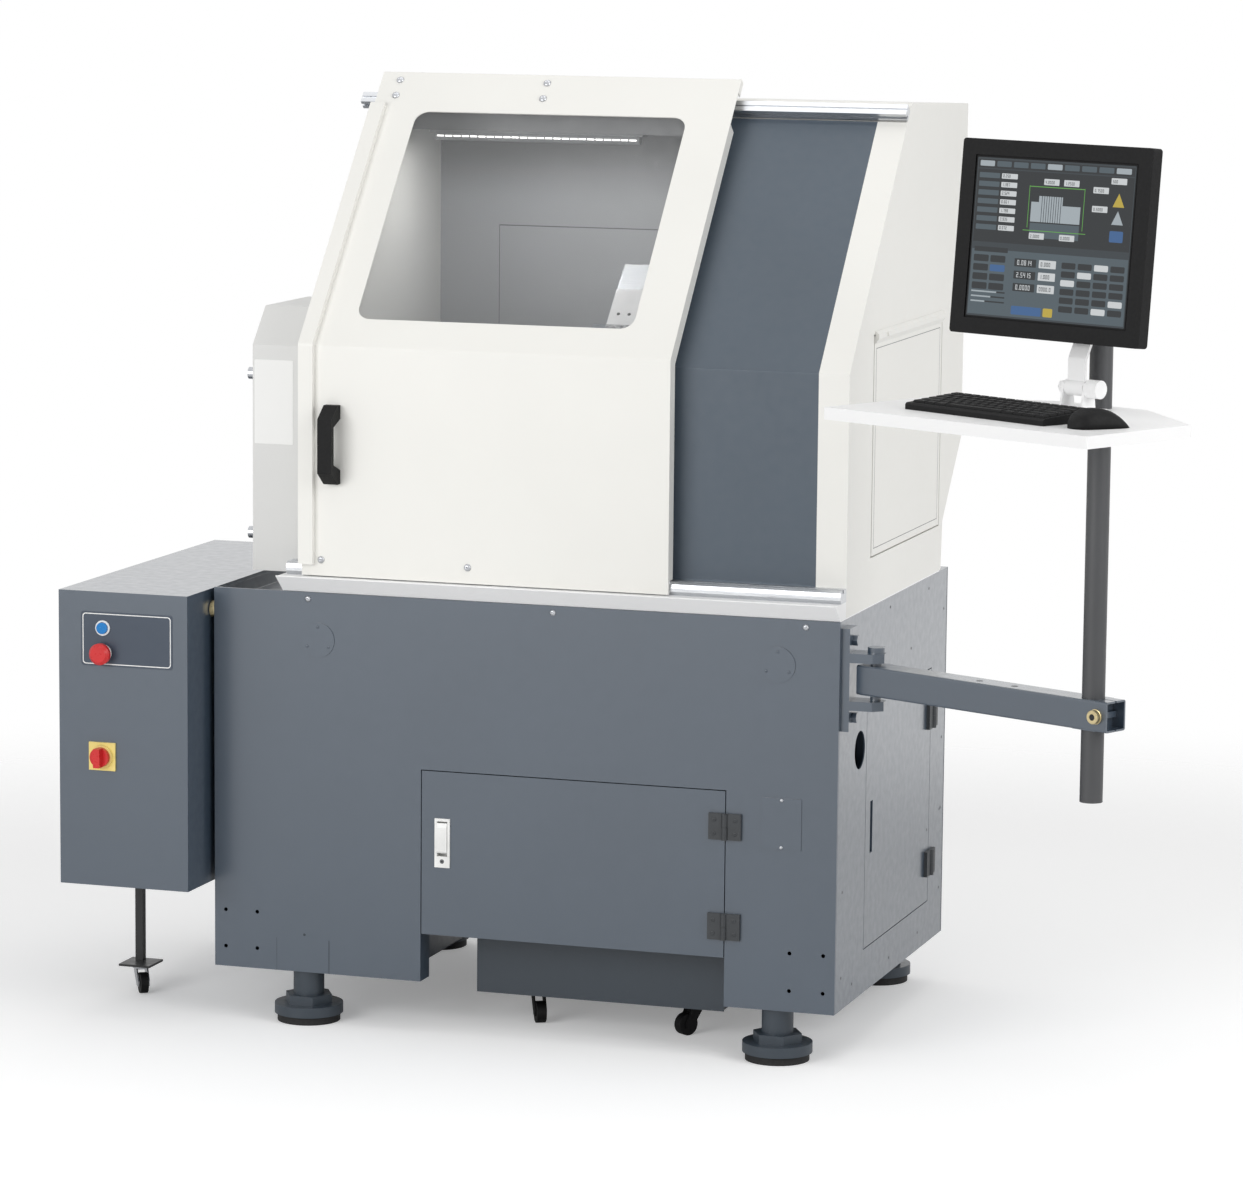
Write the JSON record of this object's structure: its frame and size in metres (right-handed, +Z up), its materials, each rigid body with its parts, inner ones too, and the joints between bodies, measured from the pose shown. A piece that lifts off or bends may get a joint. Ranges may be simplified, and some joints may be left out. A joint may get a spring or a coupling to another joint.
{
  "type": "cnc turning lathe",
  "caption": "Slant-bed turning lathe with sliding hood door, base cabinet, side electrical cabinet, coolant tank and swing-arm operator console.",
  "frame": {"origin": "bottom centre of the whole machine's box, on the floor", "axes": "+X to the machine's right along the spindle axis, +Y to its rear, +Z up"},
  "size_m": [2.0644, 1.4064, 1.6698],
  "materials": {
    "base_paint": "satin fine texture",
    "hood_paint": "satin",
    "shelf_paint": "satin",
    "pole_paint": "satin",
    "rubber": "matt",
    "rail_aluminium": "anodised",
    "window_glass": "clear",
    "black_plastic": "moulded",
    "black_paint": "satin",
    "zinc_steel": "plated",
    "white_plastic": "moulded",
    "start_blue": "moulded",
    "stop_red": "moulded",
    "disconnect_yellow": "moulded",
    "cast_iron_paint": "painted casting",
    "ground_steel": "ground"
  },
  "bodies": {
    "machine": {"base_front_panel": "base_paint", "base_left_panel": "base_paint", "base_right_panel": "base_paint", "base_rear_panel": "base_paint", "base_inner_panels": "base_paint", "levelling_feet": "base_paint", "foot_rubbers": "rubber", "cover_knobs": "zinc_steel", "enclosure_left_wall": "hood_paint", "enclosure_right_wall": "hood_paint", "enclosure_roof": "hood_paint", "enclosure_fixed_panel": "base_paint", "splash_back": "hood_paint", "work_light": "white_plastic", "side_access_cover": "hood_paint", "chip_pan": "hood_paint", "door_rails": "rail_aluminium", "drive_cover": "hood_paint", "lathe_bed": "cast_iron_paint", "headstock": "cast_iron_paint", "drive_belt": "black_plastic", "drive_motors": "black_paint", "hinge_fixed_leaves": "black_plastic", "console_bracket": "base_paint"},
    "base_door": {"base_door": "base_paint", "base_door_hinge_leaves": "black_plastic", "base_door_latch": "white_plastic"},
    "latch_paddle": {"latch_paddle": "white_plastic"},
    "side_door": {"side_door": "base_paint"},
    "sliding_door": {"sliding_door": "hood_paint", "door_window": "window_glass", "door_handle": "black_plastic", "door_carriages": "zinc_steel"},
    "electrical_cabinet": {"electrical_cabinet": "base_paint", "button_collars": "white_plastic", "disconnect_plate": "disconnect_yellow", "cabinet_leg": "black_paint"},
    "start_button": {"start_button": "start_blue"},
    "stop_button": {"stop_button": "stop_red"},
    "disconnect_knob": {"disconnect_knob": "stop_red"},
    "cabinet_caster_fork": {"cabinet_caster_fork": "zinc_steel"},
    "cabinet_caster_wheel": {"cabinet_caster_wheel": "black_plastic"},
    "coolant_tank": {"coolant_tank": "base_paint"},
    "tank_caster_left": {"tank_caster_left": "black_plastic"},
    "tank_caster_right": {"tank_caster_right": "black_plastic"},
    "console_arm": {"console_arm": "base_paint"},
    "console_pole": {"console_pole": "pole_paint", "console_shelf": "shelf_paint", "keyboard": "black_plastic", "mouse": "black_plastic", "monitor_stand": "shelf_paint"},
    "monitor": {"monitor": "black_plastic", "monitor_arm": "shelf_paint"},
    "spindle": {"spindle": "ground_steel", "chuck": "ground_steel"},
    "motor_pulley": {"motor_pulley": "ground_steel"},
    "saddle": {"saddle": "cast_iron_paint"},
    "cross_slide": {"cross_slide": "ground_steel", "tool_block": "ground_steel"},
    "z_screw": {"z_screw": "ground_steel"}
  },
  "joints": [
    {"name": "base_door_hinge", "type": "hinge", "parent": "machine", "child": "base_door", "pos_m": [0.16938, -0.12531, 0.32], "axis": [0, 0, 1], "range_deg": [0, 110]},
    {"name": "latch_pull", "type": "hinge", "parent": "base_door", "child": "latch_paddle", "pos_m": [-0.34667, -0.11981, 0.3755], "axis": [-1, 0, 0], "range_deg": [0, 35], "stiffness_Nm_per_rad": 0.05, "springref_deg": -5.73},
    {"name": "side_door_hinge", "type": "hinge", "parent": "machine", "child": "side_door", "pos_m": [0.37333, 0.50934, 0.38], "axis": [0, 0, 1], "range_deg": [0, 110]},
    {"name": "door_slide", "type": "slide", "parent": "machine", "child": "sliding_door", "axis": [1, 0, 0], "range_m": [0, 0.6]},
    {"name": "cabinet_hinge", "type": "hinge", "parent": "machine", "child": "electrical_cabinet", "pos_m": [-0.78217, 0.49819, 0.5], "axis": [0, 0, -1], "range_deg": [0, 90]},
    {"name": "start_press", "type": "slide", "parent": "electrical_cabinet", "child": "start_button", "axis": [0, 1, 0], "range_m": [0, 0.003], "stiffness_N_per_m": 400, "springref_m": -0.001},
    {"name": "stop_press", "type": "slide", "parent": "electrical_cabinet", "child": "stop_button", "axis": [0, 1, 0], "range_m": [0, 0.004]},
    {"name": "disconnect_turn", "type": "hinge", "parent": "electrical_cabinet", "child": "disconnect_knob", "pos_m": [-0.94917, -0.21781, 0.476], "axis": [0, 1, 0], "range_deg": [0, 90]},
    {"name": "cabinet_caster_swivel", "type": "hinge", "parent": "electrical_cabinet", "child": "cabinet_caster_fork", "pos_m": [-0.98217, 0.02019, 0.05], "axis": [0, 0, 1], "continuous": true},
    {"name": "cabinet_caster_roll", "type": "hinge", "parent": "cabinet_caster_fork", "child": "cabinet_caster_wheel", "pos_m": [-0.9707, 0.00381, 0.019], "axis": [0.8192, 0.5736, 0], "continuous": true},
    {"name": "tank_slide", "type": "slide", "parent": "machine", "child": "coolant_tank", "axis": [0, -1, 0], "range_m": [0, 0.45]},
    {"name": "tank_caster_left_swivel", "type": "hinge", "parent": "coolant_tank", "child": "tank_caster_left", "pos_m": [-0.22617, 0.05019, 0.06], "axis": [0, 0, 1], "continuous": true},
    {"name": "tank_caster_right_swivel", "type": "hinge", "parent": "coolant_tank", "child": "tank_caster_right", "pos_m": [0.06683, 0.05019, 0.06], "axis": [0, 0, 1], "continuous": true},
    {"name": "arm_swing", "type": "hinge", "parent": "machine", "child": "console_arm", "pos_m": [0.42283, -0.08581, 0.6486], "axis": [0, 0, 1], "range_deg": [-60, 15]},
    {"name": "pole_turn", "type": "hinge", "parent": "console_arm", "child": "console_pole", "pos_m": [0.84388, -0.28664, 0.6486], "axis": [0, 0, 1], "range_deg": [-5, 45]},
    {"name": "screen_tilt", "type": "hinge", "parent": "console_pole", "child": "monitor", "pos_m": [0.81632, -0.33092, 1.211], "axis": [0.887, -0.4617, 0], "range_deg": [-10, 10]},
    {"name": "spindle_turn", "type": "hinge", "parent": "machine", "child": "spindle", "pos_m": [-0.42517, 0.10519, 1.08], "axis": [1, 0, 0], "continuous": true},
    {"name": "motor_turn", "type": "hinge", "parent": "machine", "child": "motor_pulley", "pos_m": [-0.69117, 0.00819, 0.882], "axis": [1, 0, 0], "continuous": true},
    {"name": "z_travel", "type": "slide", "parent": "machine", "child": "saddle", "axis": [1, 0, 0], "range_m": [-0.1, 0.2]},
    {"name": "x_travel", "type": "slide", "parent": "saddle", "child": "cross_slide", "axis": [0, 0.7071, 0.7071], "range_m": [-0.2, 0.01]},
    {"name": "z_screw_turn", "type": "hinge", "parent": "machine", "child": "z_screw", "pos_m": [-0.43117, 0.26606, 0.98984], "axis": [1, 0, 0], "range_deg": [-3700, 7300]}
  ],
  "couplings": [
    {"joint": "motor_turn", "follows": "spindle_turn", "ratio": 1.2857},
    {"joint": "z_screw_turn", "follows": "z_travel", "rad_per_m": 628.32}
  ]
}
